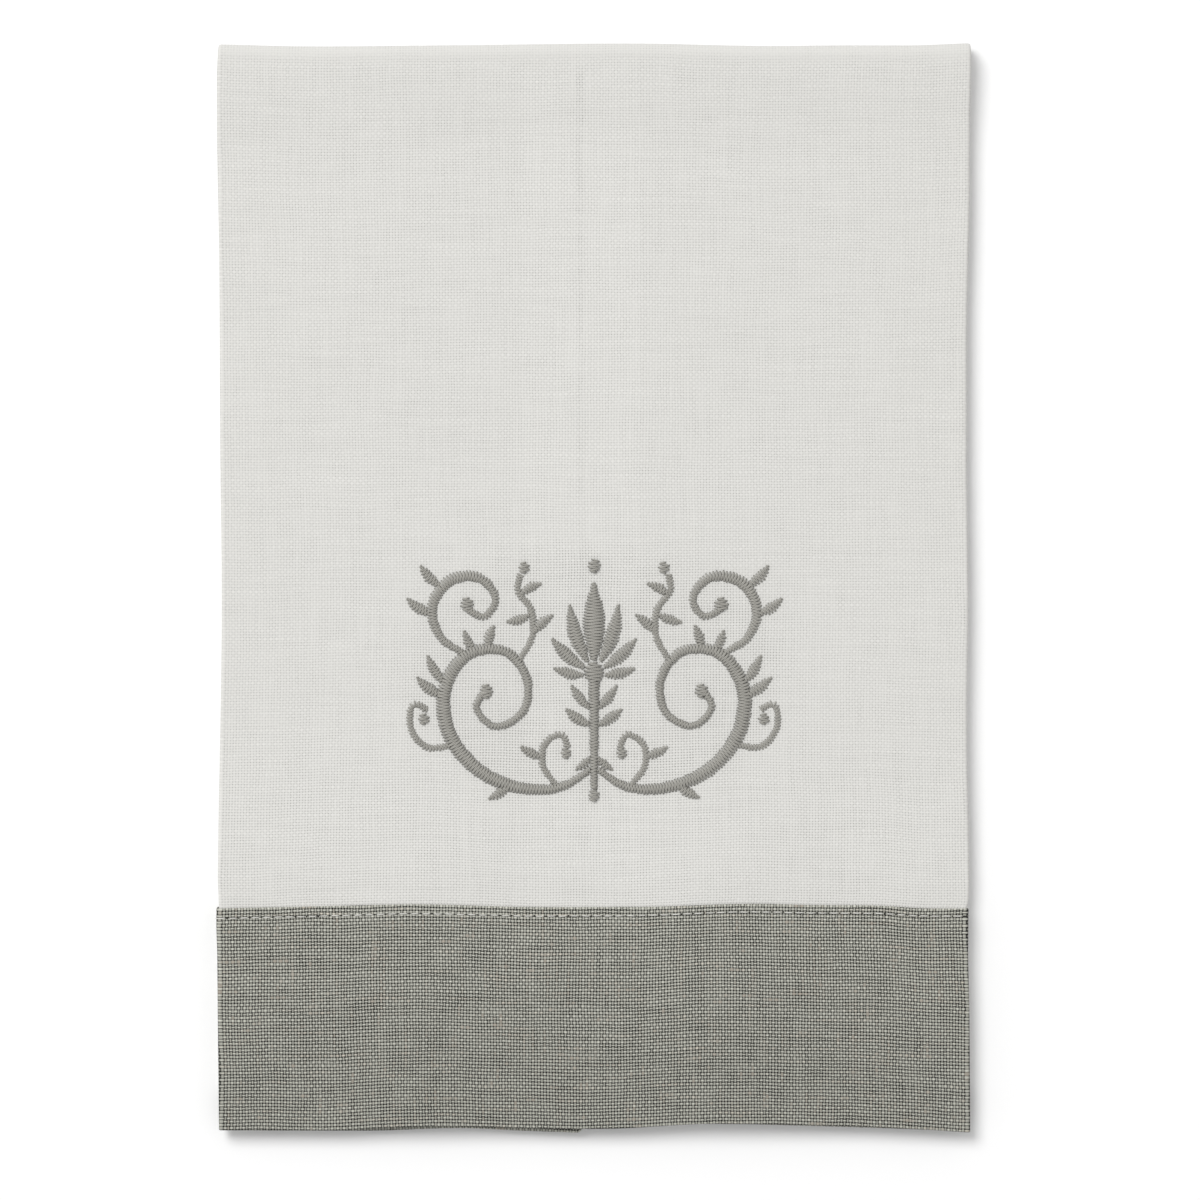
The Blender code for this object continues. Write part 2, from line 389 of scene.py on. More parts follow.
def lay_flat_grid(columns, rows):
    """A bmesh grid with a UV map of the flat cloth in metres; x and y hold column and row."""
    across, along = len(columns) - 1, len(rows) - 1
    sheet = bmesh.new()
    bmesh.ops.create_grid(sheet, x_segments=across, y_segments=along, size=0.5)
    bmesh.ops.translate(sheet, vec=(0.5, 0.5, 0), verts=sheet.verts)
    bmesh.ops.scale(sheet, vec=(across, along, 1), verts=sheet.verts)
    flat_map = sheet.loops.layers.uv.new("weave")
    for face in sheet.faces:
        for corner in face.loops:
            column, row = round(corner.vert.co.x), round(corner.vert.co.y)
            corner[flat_map].uv = (columns[column], rows[row])
    return sheet


def grid_mesh(sheet, name):
    """The mesh of a flat grid, with the column and row number of each of its vertices."""
    mesh = bpy.data.meshes.new(name)
    sheet.to_mesh(mesh)
    sheet.free()
    places = np.empty(len(mesh.vertices) * 3)
    mesh.vertices.foreach_get("co", places)
    column, row, _ = np.rint(places.reshape(-1, 3)).astype(int).T
    return mesh, column, row


def give_thickness(piece, thickness):
    """Thickens a sheet evenly to both sides of its mesh."""
    wall = piece.modifiers.new("ply", "SOLIDIFY")
    wall.thickness = thickness
    wall.offset = 0.0
    wall.use_even_offset = True


def hem_turn(flat, edge):
    """Where a flat place lies once the cloth past an edge is turned in: place and w."""
    past = np.abs(flat) - edge
    angle = np.clip(past / HEM_TURN_RADIUS, 0, np.pi)
    on_ply = np.maximum(past - math.pi * HEM_TURN_RADIUS, 0)
    out = np.minimum(np.abs(flat), edge) + HEM_TURN_RADIUS * np.sin(angle) - on_ply
    return np.sign(flat) * out, -HEM_TURN_RADIUS * (1 - np.cos(angle))


def side_stations(fold_steps, panel_steps, wing_steps, hem_steps=0):
    """Places across the flat cloth, with or without the side hems past the free edges."""
    fold_end = PANEL_HALF + SIDE_FOLD_ARC
    left, right = free_edge(LEFT_WING), free_edge(RIGHT_WING)
    turned = math.pi * HEM_TURN_RADIUS
    middle = (
        (-left + WING_CORNER_RADIUS, 4),
        (-fold_end, wing_steps),
        (-PANEL_HALF, fold_steps),
        (PANEL_HALF, panel_steps),
        (fold_end, fold_steps),
        (right - WING_CORNER_RADIUS, wing_steps),
        (right, 4),
    )
    if not hem_steps:
        return stations(-left, *middle)
    return stations(
        -left - turned - SIDE_HEM,
        (-left - turned, hem_steps),
        (-left, 5),
        *middle,
        (right + turned, 5),
        (right + turned + SIDE_HEM, hem_steps),
    )


def linen_sheet(material):
    """The white cloth: one sheet with its side hems and end hem turned in, folded whole."""
    columns = side_stations(fold_steps=12, panel_steps=72, wing_steps=21, hem_steps=5)
    turned = math.pi * HEM_TURN_RADIUS
    rows = stations(
        BAND_HEIGHT - SEAM_ALLOWANCE,
        (BAND_HEIGHT, 6),
        (BAND_HEIGHT + SEAM_DIP_REACH, 6),
        (FRONT_RUN - TOP_FOLD_REACH, 68),
        (FRONT_RUN, 12),
        (BACK_START, 14),
        (BACK_START + TOP_FOLD_REACH, 8),
        (END_STITCH_V - FINE_ROWS_REACH, 38),
        (END_STITCH_V + FINE_ROWS_REACH, 8),
        (CLOTH_END, 3),
        (CLOTH_END + turned, 5),
        (CLOTH_END + turned + END_HEM, 5),
    )
    sheet = lay_flat_grid(columns, rows)
    trim_bulky_corners(sheet)
    mesh, column, row = grid_mesh(sheet, "linen_sheet")
    flat_u, flat_v = np.array(columns)[column], np.array(rows)[row]
    edge = np.where(flat_u < 0, free_edge(LEFT_WING), free_edge(RIGHT_WING))
    u, side_w = hem_turn(flat_u, edge)
    v, end_w = hem_turn(flat_v, CLOTH_END)
    w = cloth_face_rise(v) - CLOTH_PLY / 2 + side_w + end_w + surface_waves(u, v)
    mesh.vertices.foreach_set("co", fold_cloth(u, v, w).ravel())
    mesh.shade_smooth()
    mesh.materials.append(material)
    piece = link("linen_sheet", mesh)
    give_thickness(piece, CLOTH_PLY)
    return piece


def trim_bulky_corners(sheet):
    """Cuts the side hems' turned ply away at the end hem and inside the band."""
    flat_map = sheet.loops.layers.uv["weave"]
    extra = []
    for face in sheet.faces:
        u = sum(corner[flat_map].uv.x for corner in face.loops) / 4
        v = sum(corner[flat_map].uv.y for corner in face.loops) / 4
        edge = free_edge(LEFT_WING) if u < 0 else free_edge(RIGHT_WING)
        in_end_hem = v > CLOTH_END - END_HEM
        if abs(u) > edge and (in_end_hem or v < BAND_HEIGHT):
            extra.append(face)
    bmesh.ops.delete(sheet, geom=extra, context="FACES")


def band_section():
    """The band in section, as v and w, from its tucked edge down its face, round the hem and up."""
    tuck_w = CLOTH_FACE - SEAM_DIP + PLY_GAP + BAND_PLY / 2
    face_w = tuck_w + BAND_PLY + PLY_GAP
    back_w = CLOTH_FACE - SEAM_DIP - CLOTH_PLY - PLY_GAP - BAND_PLY / 2
    edge_radius = (face_w - tuck_w) / 2
    hem_radius = (BAND_LOW_FACE_W - BAND_LOW_BACK_W) / 2
    section = []
    for v in stations(BAND_HEIGHT - BAND_TUCK, (BAND_HEIGHT - edge_radius, 5)):
        section.append((v, tuck_w))
    for step in range(1, 5):
        turn = math.pi * step / 5
        out = BAND_HEIGHT - edge_radius + edge_radius * math.sin(turn)
        section.append((out, tuck_w + edge_radius * (1 - math.cos(turn))))
    tuck_end = BAND_HEIGHT - BAND_TUCK
    for v in stations(BAND_HEIGHT - edge_radius, (tuck_end, 5), (hem_radius, 22)):
        below = tuck_end + BAND_TUCK_SETTLES_FROM - v
        settled = float(ease(below / BAND_TUCK_SETTLES_OVER))
        section.append((v, face_w + (BAND_LOW_FACE_W - face_w) * settled))
    for step in range(1, 6):
        turn = math.pi * step / 6
        out = hem_radius - hem_radius * math.sin(turn)
        section.append((out, BAND_LOW_FACE_W - hem_radius * (1 - math.cos(turn))))
    for v in stations(hem_radius, (BAND_HEIGHT - BAND_BACK_SHORT_OF_SEAM, 20)):
        spread = float(ease((v - BAND_BACK_SPREADS_FROM) / BAND_BACK_SPREADS_OVER))
        section.append((v, BAND_LOW_BACK_W + (back_w - BAND_LOW_BACK_W) * spread))
    return section


def corner_rise(u, v):
    """How far the band's hem is drawn up where it rounds off at a wing's free edge."""
    edge = np.where(u < 0, free_edge(LEFT_WING), free_edge(RIGHT_WING))
    near_edge = np.clip(1 - (edge - np.abs(u)) / WING_CORNER_RADIUS, 0, 1)
    rounding = WING_CORNER_RADIUS * (1 - np.sqrt(1 - near_edge**2))
    return rounding * ease(1 - v / CORNER_ROUNDING_REACH)


def band_strip(material):
    """The grey band: one strip folded over the cloth's end, its upper edge tucked under."""
    columns = side_stations(fold_steps=12, panel_steps=72, wing_steps=21)
    section = band_section()
    path = np.array(section)
    lengths = np.hypot(*np.diff(path, axis=0).T)
    rows = list(np.concatenate([[0.0], np.cumsum(lengths)]))
    sheet = lay_flat_grid(columns, rows)
    mesh, column, row = grid_mesh(sheet, "band_strip")
    u = np.array(columns)[column]
    v, w = path[row].T
    v = v + corner_rise(u, v)
    mesh.vertices.foreach_set("co", fold_cloth(u, v, w + surface_waves(u, v)).ravel())
    mesh.flip_normals()
    mesh.shade_smooth()
    mesh.materials.append(material)
    piece = link("band_strip", mesh)
    give_thickness(piece, BAND_PLY)
    return piece


def screen_colour(red, green, blue):
    """A colour in linear values, from the 0 to 255 of a screen."""

    def linear(value):
        share = value / 255
        return share / 12.92 if share <= 0.04045 else ((share + 0.055) / 1.055) ** 2.4

    return linear(red), linear(green), linear(blue), 1.0


WHITE_THREAD = screen_colour(214, 213, 209)
# Painted shade: the colour of the gaps between the white threads
WHITE_HOLE_SHADE = screen_colour(165, 165, 159)
GREY_THREAD = screen_colour(122, 122, 115)
BROWNED_THREAD = screen_colour(126, 121, 112)
# Painted shade: the near black of the holes in the grey weave
GREY_HOLE_SHADE = screen_colour(24, 24, 20)
SATIN_THREAD = screen_colour(160, 158, 151)
SEAM_THREAD = screen_colour(214, 213, 207)
NEEDLE_SHADE = screen_colour(40, 39, 35)


class Signal:
    """A number that varies over a surface: a node's output, with ordinary arithmetic."""

    def __init__(self, finish, socket):
        self.finish = finish
        self.socket = socket

    def __add__(self, other):
        return self.finish.math("ADD", self, other)

    def __sub__(self, other):
        return self.finish.math("SUBTRACT", self, other)

    def __rsub__(self, other):
        return self.finish.math("SUBTRACT", other, self)

    def __mul__(self, other):
        return self.finish.math("MULTIPLY", self, other)

    def __truediv__(self, other):
        return self.finish.math("DIVIDE", self, other)

    __radd__ = __add__
    __rmul__ = __mul__

    def floor(self):
        return self.finish.math("FLOOR", self)

    def size(self):
        return self.finish.math("ABSOLUTE", self)

    def cosine(self):
        return self.finish.math("COSINE", self)

    def root(self):
        return self.finish.math("SQRT", self)

    def at_least(self, other):
        return self.finish.math("MAXIMUM", self, other)

    def step(self, low, high):
        """0 below low, 1 above high and smooth between; low may be the greater."""
        return self.finish.step(self, low, high)


class Finish:
    """A material, and short calls that add nodes to it."""

    def __init__(self, name):
        self.material = bpy.data.materials.new(name)
        self.material.use_nodes = True
        self.tree = self.material.node_tree
        self.shader = self.tree.nodes["Principled BSDF"]

    def feed(self, socket, value):
        """Links a signal to a socket, or sets the socket's own value."""
        if isinstance(value, Signal):
            value = value.socket
        if isinstance(value, bpy.types.NodeSocket):
            self.tree.links.new(value, socket)
        else:
            socket.default_value = value

    def node(self, kind, **settings):
        """A new node with these settings."""
        made = self.tree.nodes.new(kind)
        for name, value in settings.items():
            setattr(made, name, value)
        return made

    def math(self, operation, first, second=None):
        """What an operation makes of one or two values, as a signal."""
        made = self.node("ShaderNodeMath", operation=operation)
        self.feed(made.inputs[0], first)
        if second is not None:
            self.feed(made.inputs[1], second)
        return Signal(self, made.outputs[0])

    def step(self, value, low, high):
        made = self.node("ShaderNodeMapRange", interpolation_type="SMOOTHSTEP")
        for name, given in (("Value", value), ("From Min", low), ("From Max", high)):
            self.feed(made.inputs[name], given)
        return Signal(self, made.outputs["Result"])

    def flat_map(self, name):
        """The two places of a UV map, across and along."""
        uv = self.node("ShaderNodeUVMap", uv_map=name)
        apart = self.node("ShaderNodeSeparateXYZ")
        self.feed(apart.inputs[0], uv.outputs[0])
        return Signal(self, apart.outputs[0]), Signal(self, apart.outputs[1])

    def noise(self, across, along, seed=0.0, detail=1.0):
        """Soft noise from -1 to 1, of features about 1 wide in what it is given."""
        joined = self.node("ShaderNodeCombineXYZ")
        for socket, value in zip(joined.inputs, (across, along, seed)):
            self.feed(socket, value)
        made = self.node("ShaderNodeTexNoise", noise_dimensions="3D")
        self.feed(made.inputs["Vector"], joined.outputs[0])
        self.feed(made.inputs["Scale"], 1.0)
        self.feed(made.inputs["Detail"], detail)
        self.feed(made.inputs["Roughness"], 0.5)
        return Signal(self, made.outputs["Fac"]) * 2.0 - 1.0

    def blend(self, share, first, second):
        """Mixes two colours by a share from 0 to 1."""
        made = self.node("ShaderNodeMix", data_type="RGBA")
        self.feed(made.inputs["Factor"], share)
        self.feed(made.inputs["A"], first)
        self.feed(made.inputs["B"], second)
        return made.outputs["Result"]

    def bump(self, height, distance):
        """Fine relief for the light to catch, of this depth."""
        made = self.node("ShaderNodeBump")
        self.feed(made.inputs["Height"], height)
        self.feed(made.inputs["Distance"], distance)
        self.feed(self.shader.inputs["Normal"], made.outputs["Normal"])


def choose(share, first, second):
    """first where share is 0 and second where it is 1."""
    return first + (second - first) * share


# A plain weave: its pitch, how wide a thread is against its pitch, and how much that varies
Weave = namedtuple(
    "Weave", "across along half_width slub open_patches wander wave uneven thick_spot"
)
WHITE_WEAVE = Weave(0.69 * MM, 0.656 * MM, 0.452, 0.10, 0.030, 0.40, 0.43, 0.017, 0.03)
GREY_WEAVE = Weave(0.70 * MM, 0.78 * MM, 0.316, 0.11, 0.035, 0.40, 0.64, 0.060, 0.11)

# Where the white cloth is drawn a little open: around the ornament, and towards the seam, more
# and more from the first height above the hem down to the second
ORNAMENT_HEIGHT = 108 * MM
ORNAMENT_HALF_WIDTH = 46 * MM
ORNAMENT_HALF_LENGTH = 30 * MM
OPENER_NEAR_SEAM = (105 * MM, 75 * MM)

Woven = namedtuple(
    "Woven", "height covered warp_on_top warp weft across along crossing thick_spot"
)


def plain_weave(finish, weave, opening=0.0):
    """Threads over and under each other, from the flat cloth map in metres.

    Gives the surface's height from -1 in a hole to 1, how much of it thread covers, which
    thread is on top, the number of each warp and weft thread, the places in threads, how
    much each crossing differs from the others and where the thread on top has a thick spot.
    """
    u, v = finish.flat_map("weave")
    wide = finish.noise(u / (18 * MM), v / (18 * MM), 1.0, detail=2.0)
    tall = finish.noise(u / (18 * MM), v / (18 * MM), 7.0, detail=2.0)
    across = u / weave.across + wide * weave.wander * 1.6
    along = v / weave.along + tall * weave.wander * 1.6
    warp, weft = across.floor(), along.floor()
    off_warp = across - warp - 0.5
    off_weft = along - weft - 0.5
    patches = finish.noise(u / (7 * MM), v / (5 * MM), 3.0, detail=2.0) * weave.open_patches
    warp_slub = finish.noise(warp * 7.3, along * 0.07, 11.0) * weave.slub
    weft_slub = finish.noise(across * 0.07, weft * 7.3, 13.0) * weave.slub
    crossing = finish.noise(across * 1.1, along * 1.1, 17.0)
    half_width = crossing * weave.uneven - patches + (weave.half_width - opening)
    warp_spot = finish.noise(warp * 3.1, along * 0.11, 51.0).step(0.28, 0.50)
    weft_spot = finish.noise(across * 0.11, weft * 3.1, 53.0).step(0.28, 0.50)
    warp_half = warp_slub * 1.4 + half_width + warp_spot * weave.thick_spot
    weft_half = weft_slub * 1.4 + half_width + weft_spot * weave.thick_spot
    warp_share = (off_warp / warp_half).size()
    weft_share = (off_weft / weft_half).size()
    warp_round = (1.0 - warp_share * warp_share).at_least(0.0).root()
    weft_round = (1.0 - weft_share * weft_share).at_least(0.0).root()
    warp_wave = ((along + warp - 0.5) * math.pi).cosine()
    weft_wave = ((across + weft + 0.5) * math.pi).cosine()
    warp_covers = warp_share.step(1.08, 0.92)
    weft_covers = weft_share.step(1.08, 0.92)
    warp_height = choose(weave.wave, warp_round, warp_wave) - (1.0 - warp_covers) * 2.0
    weft_height = choose(weave.wave, weft_round, weft_wave) - (1.0 - weft_covers) * 2.0
    height = warp_height.at_least(weft_height).at_least(-1.0)
    covered = warp_covers.at_least(weft_covers)
    warp_on_top = (warp_height - weft_height).step(-0.08, 0.08)
    thick_spot = choose(warp_on_top, weft_spot, warp_spot)
    return Woven(height, covered, warp_on_top, warp, weft, across, along, crossing, thick_spot)


def thread_tones(finish, woven, per_thread, fibre, crossing):
    """A brightness near 1 for each thread, the fibres along it and each crossing."""
    warp_tone = finish.noise(woven.warp * 5.9, woven.along * 0.03, 21.0) * per_thread
    weft_tone = finish.noise(woven.across * 0.03, woven.weft * 5.9, 23.0) * per_thread
    warp_fibre = finish.noise(woven.across * 9.0, woven.along * 1.1, 31.0) * fibre
    weft_fibre = finish.noise(woven.across * 1.1, woven.along * 9.0, 33.0) * fibre
    tone = choose(woven.warp_on_top, weft_tone + weft_fibre, warp_tone + warp_fibre)
    return tone + woven.crossing * crossing + 1.0


def shaded(finish, colour, tone):
    """A colour times a brightness that varies."""
    made = finish.node("ShaderNodeVectorMath", operation="SCALE")
    finish.feed(made.inputs[0], colour if isinstance(colour, bpy.types.NodeSocket) else colour[:3])
    finish.feed(made.inputs["Scale"], tone)
    return made.outputs[0]


def across_at_edge(wing, up):
    """How far across a wing's free edge lies, at a share of the way up the front."""
    return up * ((wing.edge_at_top - wing.edge_at_hem) * MM) + wing.edge_at_hem * MM


def dull_surface(finish, sheen):
    """Gives both linens the dull surface of washed cloth."""
    finish.shader.inputs["Roughness"].default_value = 0.88
    finish.shader.inputs["Sheen Weight"].default_value = sheen
    finish.shader.inputs["Sheen Roughness"].default_value = 0.5
    finish.shader.inputs["Specular IOR Level"].default_value = 0.25


def white_linen_finish():
    """White linen: fine faint gaps in painted shade, painted highlights where threads cross over,
    and the wings' side hems painted a little lighter and the slit between them painted in shade
    where they show through.
    """
    finish = Finish("white linen")
    u, v = finish.flat_map("weave")
    up = v / FRONT_RUN
    left_edge, right_edge = across_at_edge(LEFT_WING, up), across_at_edge(RIGHT_WING, up)
    soft = 0.5 * MM
    on_front = v.step(FRONT_RUN, FRONT_RUN - 6 * MM)
    # Painted light: the wings' side hem strips behind the front show through a little lighter
    left_strip = (left_edge - u).step(-soft, soft) * (left_edge - u - SIDE_HEM).step(soft, -soft)
    right_strip = (u - right_edge).step(-soft, soft) * (u - right_edge - SIDE_HEM).step(soft, -soft)
    hems = (left_strip + right_strip) * on_front
    edge_soft = 0.25 * MM
    # Painted shade: a spotted dark line where the slit between the wings' free edges shows through
    slit_shade = (u - left_edge).step(-2 * edge_soft, 0.0) * (right_edge - u).step(-2 * edge_soft, 0.0)
    spotted = finish.noise(u / (30 * MM), v / (3.2 * MM), 61.0, detail=2.0).step(-0.35, 0.45)
    slit_shade = slit_shade * on_front * choose(up.step(0.45, 0.78), 0.25, 0.9) * spotted
    out_across = u / ORNAMENT_HALF_WIDTH
    out_along = (v - ORNAMENT_HEIGHT) / ORNAMENT_HALF_LENGTH
    drawn = (out_across * out_across + out_along * out_along).step(1.25, 0.7)
    near_seam = v.step(*OPENER_NEAR_SEAM)
    woven = plain_weave(finish, WHITE_WEAVE, opening=(drawn + slit_shade) * 0.05 + near_seam * 0.03)
    tone = thread_tones(finish, woven, per_thread=0.06, fibre=0.05, crossing=0.06)
    # Painted shade: the holes and low threads darker around the ornament and over the slit between
    # the wings
    shade_seen_deeper = 1.0 - drawn * 0.16 - slit_shade * 0.30
    # Painted shade and highlight: a thread darker where it dives under and lighter where it crosses
    # over
    depth = woven.height.step(-0.73, 1.0)
    patch = finish.noise(u / (26 * MM), v / (20 * MM), 41.0, detail=3.0) * 0.010
    tone = tone * choose(depth, shade_seen_deeper * 0.563, 1.05) * (patch + 1.0) * (hems * 0.014 + 1.0)
    # Painted highlight: crossings with the warp on top lighter than those with the weft on top
    tone = tone * choose(woven.warp_on_top, 1.023, 0.977) * (near_seam * 0.018 + 1.0)
    at_top_fold = v.step(FRONT_RUN - 2 * MM, FRONT_RUN + 1.5 * MM) * 0.7
    tone = choose(at_top_fold, tone, 0.97)
    thread = shaded(finish, WHITE_THREAD, tone)
    # Painted shade in the holes between the threads
    hole = shaded(finish, WHITE_HOLE_SHADE, shade_seen_deeper)
    finish.feed(finish.shader.inputs["Base Color"], finish.blend(woven.covered, hole, thread))
    dull_surface(finish, sheen=0.08)
    finish.bump(woven.height, 0.035 * MM)
    return finish.material


def grey_linen_finish():
    """Grey linen: an opener weave, its holes painted dark as shade and its threads painted pale as
    highlights where they cross over.
    """
    finish = Finish("grey linen")
    u, v = finish.flat_map("weave")
    woven = plain_weave(finish, GREY_WEAVE)
    tone = thread_tones(finish, woven, per_thread=0.12, fibre=0.16, crossing=0.37)
    # Painted shade and highlight: threads darker where they dive under and pale where they cross
    # over
    depth = finish.math("POWER", woven.height.step(-0.4, 1.05), 1.20)
    patch = finish.noise(u / (22 * MM), v / (16 * MM), 43.0, detail=3.0) * 0.02
    tone = tone * depth * (patch + 1.0) * 2.51
    # Painted highlight: crossings with the warp on top lighter than those with the weft on top
    tone = tone * choose(woven.warp_on_top, 1.118, 0.882)
    # Painted shade: the band darker towards its hem, where the light falls off
    tone = tone * choose(v.step(BAND_TUCK, BAND_TUCK + BAND_HEIGHT), 1.0, 0.89)
    tone = choose(woven.thick_spot * 0.55, tone, 1.30)
    warp_browned = finish.noise(woven.warp * 3.7, woven.along * 0.05, 71.0)
    weft_browned = finish.noise(woven.across * 0.05, woven.weft * 3.7, 73.0)
    browned = choose(woven.warp_on_top, weft_browned, warp_browned).step(0.05, 0.75)
    browned = browned.at_least(woven.thick_spot)
    thread = shaded(finish, finish.blend(browned, GREY_THREAD, BROWNED_THREAD), tone)
    colour = finish.blend(woven.covered, GREY_HOLE_SHADE, thread)
    finish.feed(finish.shader.inputs["Base Color"], colour)
    dull_surface(finish, sheen=0.05)
    finish.bump(woven.height, 0.06 * MM)
    return finish.material


def thread_finish(name, colour, roughness):
    """A stitch's thread: each strand a little lighter or darker, every other one painted lighter as
    sheen, and painted shade in its twist and at its ends sunk in the cloth.
    """
    finish = Finish(name)
    along, strand = finish.flat_map("strand")
    number = strand.floor()
    around = strand - number
    from_end = (1.0 - (along * 2.0 - 1.0).size()).step(0.0, 0.30)
    own = finish.noise(number * 3.7, 0.0, 5.0) * 0.20
    run = finish.noise(number * 0.03, 0.5, 6.0) * 0.06
    twist = ((along * 9.0 + around * 2.0 + number * 0.37) * (2 * math.pi)).cosine()
    # Painted sheen: every other strand of a zigzag lighter, as the light catches it
    every_other_sheen = number * 0.5 - (number * 0.5).floor()
    # The twist's grooves are painted a little darker as shade
    tone = own + run + twist * 0.04 + every_other_sheen * 0.20 + 0.95
    # Painted shade where each strand sinks into the cloth at its ends
    tone = tone * choose(from_end, 0.40, 1.0)
    finish.feed(finish.shader.inputs["Base Color"], shaded(finish, colour, tone))
    finish.shader.inputs["Roughness"].default_value = roughness
    finish.shader.inputs["Specular IOR Level"].default_value = 0.45
    finish.shader.inputs["Sheen Weight"].default_value = 0.1
    finish.bump(twist, 0.012 * MM)
    return finish.material


def needle_hole_shade_finish():
    """Painted shade: the dark inside a needle hole."""
    finish = Finish("needle hole shade")
    u, v = finish.flat_map("strand")
    tone = finish.noise(u * 3.0, v * 3.0) * 0.2 + 1.0
    finish.feed(finish.shader.inputs["Base Color"], shaded(finish, NEEDLE_SHADE, tone))
    finish.shader.inputs["Roughness"].default_value = 1.0
    return finish.material


# Stitches. A stitch runs from one place on the flat cloth to another and arches over it
Stitch = namedtuple("Stitch", "start end base arch")
STRAND_SIDES = 5
STRAND_STEPS = 6


def strand_copies(name, count):
    """A mesh of one strand, 0 to 1 along X and 1 across, joined as many times as asked."""
    strand = bmesh.new()
    bmesh.ops.create_cone(
        strand, cap_ends=True, segments=STRAND_SIDES, radius1=0.5, radius2=0.5, depth=1.0
    )
    flat_side_down = Matrix.Rotation(math.pi / 2 + math.pi / STRAND_SIDES, 3, "Z")
    bmesh.ops.rotate(strand, verts=strand.verts, matrix=flat_side_down)
    bmesh.ops.rotate(strand, verts=strand.verts, matrix=Matrix.Rotation(math.pi / 2, 3, "Y"))
    bmesh.ops.translate(strand, verts=strand.verts, vec=(0.5, 0, 0))
    lengthwise = [edge for edge in strand.edges if edge.calc_length() > 0.9]
    bmesh.ops.subdivide_edges(strand, edges=lengthwise, cuts=STRAND_STEPS - 1)
    bmesh.ops.recalc_face_normals(strand, faces=strand.faces)
    mesh = bpy.data.meshes.new(name)
    strand.to_mesh(mesh)
    strand.free()
    one = link(name, mesh)
    row = one.modifiers.new("copies", "ARRAY")
    row.count = count
    row.use_relative_offset = False
    row.use_constant_offset = False
    graph = bpy.context.evaluated_depsgraph_get()
    joined = bpy.data.meshes.new_from_object(one.evaluated_get(graph))
    bpy.data.objects.remove(one)
    bpy.data.meshes.remove(mesh)
    joined.name = name
    return joined


def sew(name, stitches, thickness, material, flatness=0.75, taper=0.35):
    """Lays a strand along every stitch and folds the lot with the cloth."""
    mesh = strand_copies(name, len(stitches))
    local = np.empty(len(mesh.vertices) * 3)
    mesh.vertices.foreach_get("co", local)
    along, across, up = local.reshape(len(stitches), -1, 3).transpose(2, 0, 1)
    start = np.array([stitch.start for stitch in stitches])[:, None, :]
    run = np.array([stitch.end for stitch in stitches])[:, None, :] - start
    base = np.array([stitch.base for stitch in stitches])[:, None]
    arch = np.array([stitch.arch for stitch in stitches])[:, None]
    towards_end = 0.5 - 0.5 * np.cos(along * np.pi)
    rise = np.sin(towards_end * np.pi) ** 0.6
    width = thickness * (1 - taper * (1 - rise))
    length = np.hypot(run[..., 0], run[..., 1])
    side_u, side_v = -run[..., 1] / length, run[..., 0] / length
    u = start[..., 0] + run[..., 0] * towards_end + side_u * across * width
    v = start[..., 1] + run[..., 1] * towards_end + side_v * across * width
    w = base + arch * rise + (up + 0.5) * width * flatness - thickness * 0.5 * (1 - rise)
    u, v, w = u.ravel(), v.ravel(), w.ravel()
    mesh.vertices.foreach_set("co", fold_cloth(u, v, w + surface_waves(u, v)).ravel())
    strand_map = mesh.uv_layers.new(name="strand")
    corners = np.empty(len(mesh.loops), int)
    mesh.loops.foreach_get("vertex_index", corners)
    numbers = np.repeat(np.arange(len(stitches)), along.shape[1])
    around = 0.5 + 0.9 * across.ravel()
    marks = np.stack([towards_end.ravel(), numbers + np.clip(around, 0.05, 0.95)], axis=-1)
    strand_map.data.foreach_set("uv", marks[corners].ravel())
    mesh.shade_smooth()
    mesh.materials.append(material)
    return link(name, mesh)


# The ornament is worked on the front, in millimetres from its middle. Each column of satin
# stitch is a line of places with its width there, and is worked again mirrored
STITCH_PITCH = 0.36
STITCH_THREAD = 0.42 * MM
SATIN_SUNK = 0.05 * MM
FINE_POINTS_PER_PLACE = 40
Place = namedtuple("Place", "x y width")

MAIN_SCROLL = (
    Place(0.9, -22.5, 1.3),
    Place(7.0, -26.4, 1.9),
    Place(16.5, -27.0, 2.6),
    Place(27.0, -23.2, 3.2),
    Place(34.4, -14.4, 3.4),
    Place(35.4, -3.4, 3.2),
    Place(29.6, 4.8, 2.7),
    Place(20.8, 5.2, 2.2),
    Place(15.8, -1.6, 1.9),
    Place(17.4, -9.6, 1.7),
    Place(24.0, -12.4, 1.5),
    Place(28.0, -7.6, 1.5),
    Place(25.6, -3.8, 1.6),
)
UPPER_BRANCH = (
    Place(30.4, 4.4, 1.3),
    Place(36.6, 8.6, 1.9),
    Place(38.6, 15.6, 2.4),
    Place(34.4, 22.0, 2.6),
    Place(27.0, 22.6, 2.2),
    Place(23.4, 17.4, 1.7),
    Place(26.4, 13.4, 1.5),
    Place(30.0, 15.2, 1.6),
)
OUTER_TENDRIL = (
    Place(33.4, -17.0, 1.3),
    Place(39.4, -17.8, 1.5),
    Place(43.4, -13.4, 1.5),
    Place(42.6, -7.4, 1.4),
    Place(39.6, -8.8, 1.5),
)
INNER_TENDRIL = (
    Place(17.6, 3.4, 1.3),
    Place(14.6, 9.4, 1.5),
    Place(15.2, 15.8, 1.6),
    Place(18.2, 19.8, 1.4),
    Place(17.6, 23.6, 1.5),
)
LOW_TENDRIL = (
    Place(9.0, -26.2, 1.3),
    Place(12.2, -21.4, 1.5),
    Place(11.2, -15.8, 1.5),
    Place(7.4, -14.4, 1.4),
    Place(6.2, -17.4, 1.5),
)
STEM = (
    Place(0.0, -27.0, 1.6),
    Place(0.0, -14.0, 2.0),
    Place(0.0, -2.0, 2.6),
)
